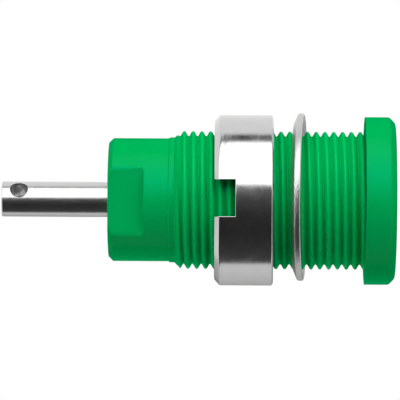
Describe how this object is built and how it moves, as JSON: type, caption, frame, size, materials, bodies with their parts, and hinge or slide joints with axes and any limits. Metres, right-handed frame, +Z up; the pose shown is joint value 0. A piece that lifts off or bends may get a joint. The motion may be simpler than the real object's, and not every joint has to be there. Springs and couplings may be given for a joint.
{
  "type": "banana socket",
  "caption": "Panel-mounted 4 mm banana socket: green threaded housing with a shroud cavity, turned contact with solder pin, ring nut and dished spring washer.",
  "frame": {"origin": "centre of the collar's rear face, which seats on the front of the panel", "axes": "+X along the axis and out of the front of the panel, +Z up, flats of the rear end facing -Y and +Y"},
  "size_m": [0.0335, 0.0146, 0.0147],
  "materials": {
    "green_plastic": "moulded, semi-gloss",
    "contact_metal": "turned brass, bright nickel plating",
    "nut_metal": "turned brass, bright nickel plating",
    "washer_metal": "stamped spring steel, nickel plating"
  },
  "bodies": {
    "root": {"housing": "green_plastic", "contact": "contact_metal", "ring_nut": "nut_metal", "spring_washer": "washer_metal"}
  },
  "joints": []
}
